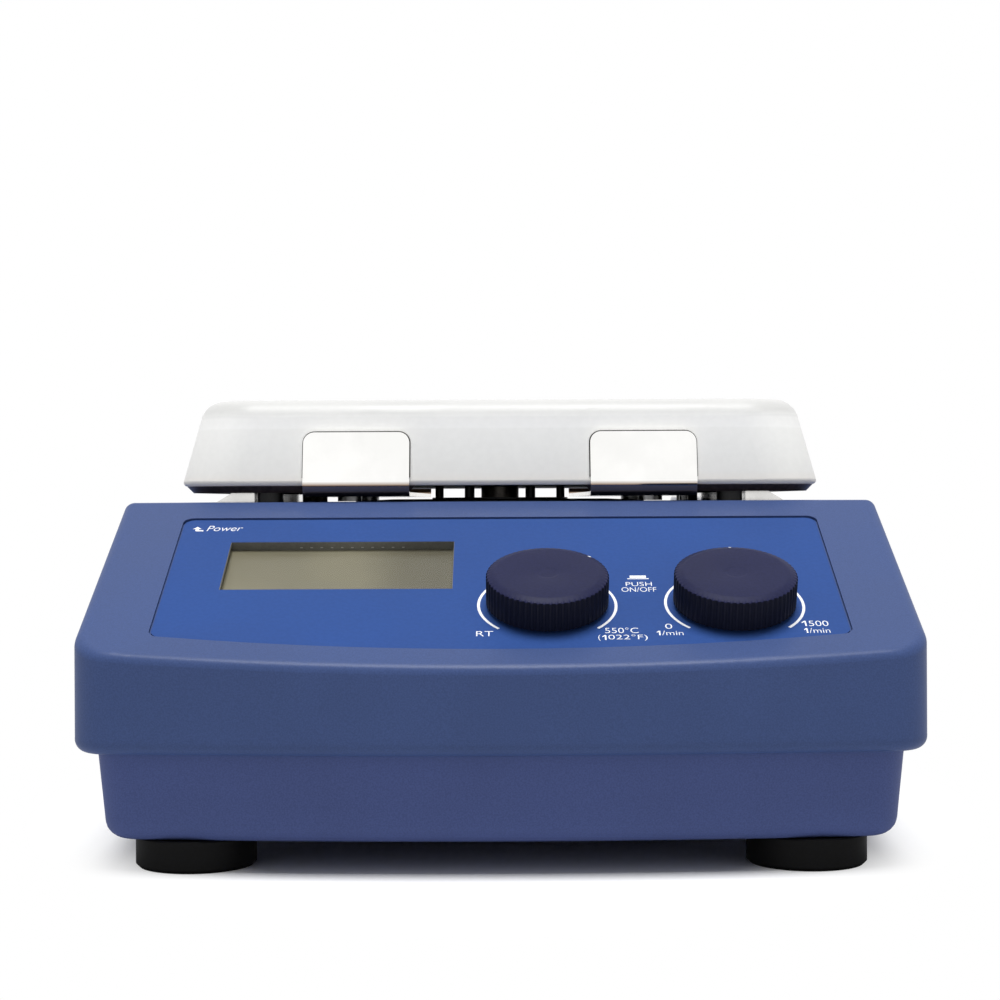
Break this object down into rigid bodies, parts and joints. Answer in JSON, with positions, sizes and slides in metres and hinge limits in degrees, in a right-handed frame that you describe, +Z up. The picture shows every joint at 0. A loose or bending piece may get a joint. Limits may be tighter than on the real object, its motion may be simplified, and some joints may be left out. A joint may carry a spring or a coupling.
{
  "type": "hotplate magnetic stirrer",
  "caption": "Laboratory hotplate magnetic stirrer: a square white heating plate on a sloped-front housing with a display, two fluted push knobs and a rotating magnet drive.",
  "frame": {"origin": "centre of the footprint, on the surface that the feet stand on", "axes": "+Z up, +Y to the rear, +X to the right as seen from the control panel, which faces -Y"},
  "size_m": [0.2186, 0.3, 0.1246],
  "materials": {
    "cover_paint": "fine-textured blue powder coat",
    "tub_plastic": "fine-textured blue",
    "overlay_foil": "satin blue foil",
    "window": "clear window",
    "display": "grey-green display",
    "circuit_board": "green board",
    "knob_plastic": "dark blue-grey",
    "plate_ceramic": "smooth white",
    "fibre_board": "rough off-white",
    "heater_metal": "dull, oxidised",
    "ceramic_sleeve": "unglazed",
    "pan_steel": "dark, heat-tinted",
    "strap_steel": "mirror-polished",
    "rail_steel": "polished",
    "deflector_metal": "dark teal",
    "black_metal": "black",
    "steel": "bright",
    "foot_rubber": "black",
    "black_plastic": "black",
    "pin_brass": "bright"
  },
  "bodies": {
    "base": {"base_tub": "tub_plastic", "board_screws": "steel", "bracket_screws": "steel", "case_screws": "steel", "control_board": "circuit_board", "display_window": "window", "drive_motor": "steel", "encoder_nuts": "steel", "foot_screws": "steel", "heat_deflector": "deflector_metal", "heater_element": "heater_metal", "heater_terminals": "ceramic_sleeve", "heating_encoder": "black_plastic", "inlet_pins": "pin_brass", "inlet_screws": "steel", "insulation_board": "fibre_board", "lcd_module": "display", "left_plate_strap": "strap_steel", "left_side_rail": "rail_steel", "motor_bracket": "steel", "panel_overlay": "overlay_foil", "plate_pan": "pan_steel", "post_nuts": "steel", "power_board": "circuit_board", "power_board_screws": "steel", "power_inlet": "black_plastic", "right_plate_strap": "strap_steel", "right_side_rail": "rail_steel", "rod_socket": "steel", "rubber_feet": "foot_rubber", "sensor_socket": "black_plastic", "spacer_cage": "black_metal", "stirring_encoder": "black_plastic", "strap_nuts": "steel", "strap_screws": "steel", "support_posts": "black_metal", "switch_frame": "black_plastic", "temperature_probe": "steel", "top_plate": "plate_ceramic", "transformer": "steel", "upper_housing": "cover_paint"},
    "rotor": {"drive_shaft": "steel", "magnet_yoke": "steel", "drive_magnets": "steel"},
    "heating_push": {"heating_plunger": "black_plastic"},
    "heating_dial": {"heating_shaft": "steel", "heating_knob": "knob_plastic"},
    "stirring_push": {"stirring_plunger": "black_plastic"},
    "stirring_dial": {"stirring_shaft": "steel", "stirring_knob": "knob_plastic"},
    "rocker": {"power_rocker": "black_plastic"},
    "fuse_tray": {"fuse_drawer": "black_plastic", "fuse": "ceramic_sleeve"}
  },
  "joints": [
    {"name": "drive_spin", "type": "hinge", "parent": "base", "child": "rotor", "pos_m": [0, 0.0326, 0.095], "axis": [0, 0, 1], "continuous": true},
    {"name": "heating_press", "type": "slide", "parent": "base", "child": "heating_push", "axis": [0, 0.4274, -0.9041], "range_m": [0, 0.0005], "stiffness_N_per_m": 2000, "springref_m": -0.0003},
    {"name": "heating_turn", "type": "hinge", "parent": "heating_push", "child": "heating_dial", "pos_m": [0.0123, -0.11971, 0.06752], "axis": [0, -0.4274, 0.9041], "range_deg": [-90, 180]},
    {"name": "stirring_press", "type": "slide", "parent": "base", "child": "stirring_push", "axis": [0, 0.4274, -0.9041], "range_m": [0, 0.0005], "stiffness_N_per_m": 2000, "springref_m": -0.0003},
    {"name": "stirring_turn", "type": "hinge", "parent": "stirring_push", "child": "stirring_dial", "pos_m": [0.0615, -0.11971, 0.06752], "axis": [0, -0.4274, 0.9041], "range_deg": [-135, 135]},
    {"name": "rocker_tilt", "type": "hinge", "parent": "base", "child": "rocker", "pos_m": [-0.068, 0.1441, 0.063], "axis": [1, 0, 0], "range_deg": [0, 16]},
    {"name": "fuse_pull", "type": "slide", "parent": "base", "child": "fuse_tray", "axis": [0, 1, 0], "range_m": [0, 0.016]}
  ]
}
